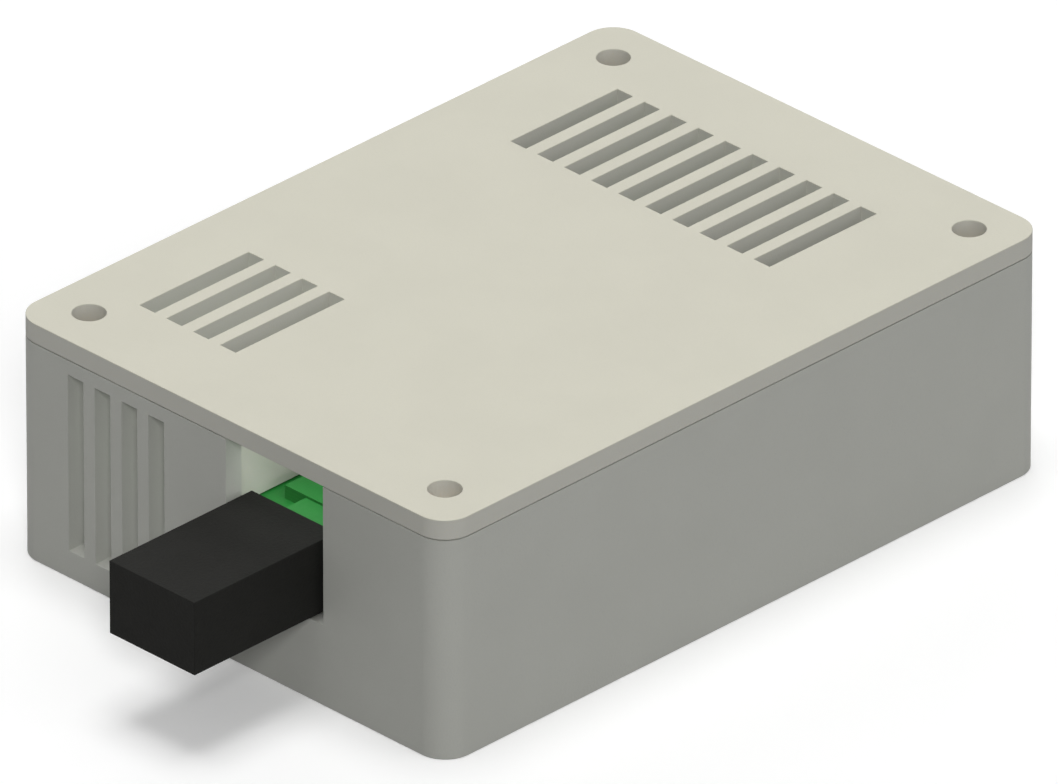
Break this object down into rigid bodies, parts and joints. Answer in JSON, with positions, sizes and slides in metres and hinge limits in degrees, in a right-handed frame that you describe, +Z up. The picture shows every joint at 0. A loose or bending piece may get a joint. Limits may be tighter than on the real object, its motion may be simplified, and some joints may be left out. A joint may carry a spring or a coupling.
{
  "type": "sensor enclosure",
  "caption": "Small vented two-part sensor box with a cream lid on a grey body, a parted sensor chamber, circuit boards inside and a black power plug in the front notch.",
  "frame": {"origin": "middle of the body's flat bottom face", "axes": "+Z up through the lid, +Y along the box away from the short wall with the plug and the vents, +X across to the right as seen from that wall"},
  "size_m": [0.056, 0.0936, 0.025],
  "materials": {
    "body_plastic": "light grey moulded plastic, satin",
    "lid_plastic": "cream moulded plastic, satin",
    "brass": "knurled",
    "board_green": "green solder mask on glass laminate",
    "screw_steel": "zinc plated",
    "receptacle_green": "green lacquered sheet steel",
    "black_plastic": "black moulded plastic",
    "overmould_black": "soft black overmould",
    "tip_steel": "nickel plated",
    "can_steel": "tinned sheet",
    "fuse_plastic": "dark green polymer",
    "led_plastic": "clear resin, unlit",
    "lead_tin": "tinned copper",
    "can_aluminium": "bare can",
    "chip_ceramic": "tan ceramic",
    "pin_gold": "gold flashed",
    "filter_white": "white membrane"
  },
  "bodies": {
    "enclosure": {"enclosure_body": "body_plastic", "enclosure_lid": "lid_plastic", "insert_front_left": "brass", "insert_front_right": "brass", "insert_rear_left": "brass", "insert_rear_right": "brass", "main_board": "board_green", "board_screws": "screw_steel", "receptacle_shell": "receptacle_green", "receptacle_tongue": "black_plastic", "radio_board": "board_green", "radio_can": "can_steel", "bridge_chip": "black_plastic", "fuse": "fuse_plastic", "status_led": "led_plastic", "regulator_body": "black_plastic", "regulator_leads": "lead_tin", "capacitor_base_left": "black_plastic", "capacitor_base_right": "black_plastic", "capacitor_can_left": "can_aluminium", "capacitor_can_right": "can_aluminium", "small_chips": "chip_ceramic", "service_strip": "black_plastic", "service_pins": "pin_gold", "sensor_strip": "black_plastic", "sensor_pins": "pin_gold", "sensor_board": "board_green", "sensor_package": "black_plastic", "sensor_filter": "filter_white"},
    "plug": {"plug_overmould": "overmould_black", "plug_tip": "tip_steel"}
  },
  "joints": [
    {"name": "plug_pull", "type": "slide", "parent": "enclosure", "child": "plug", "axis": [0, -1, 0], "range_m": [0, 0.012]}
  ]
}
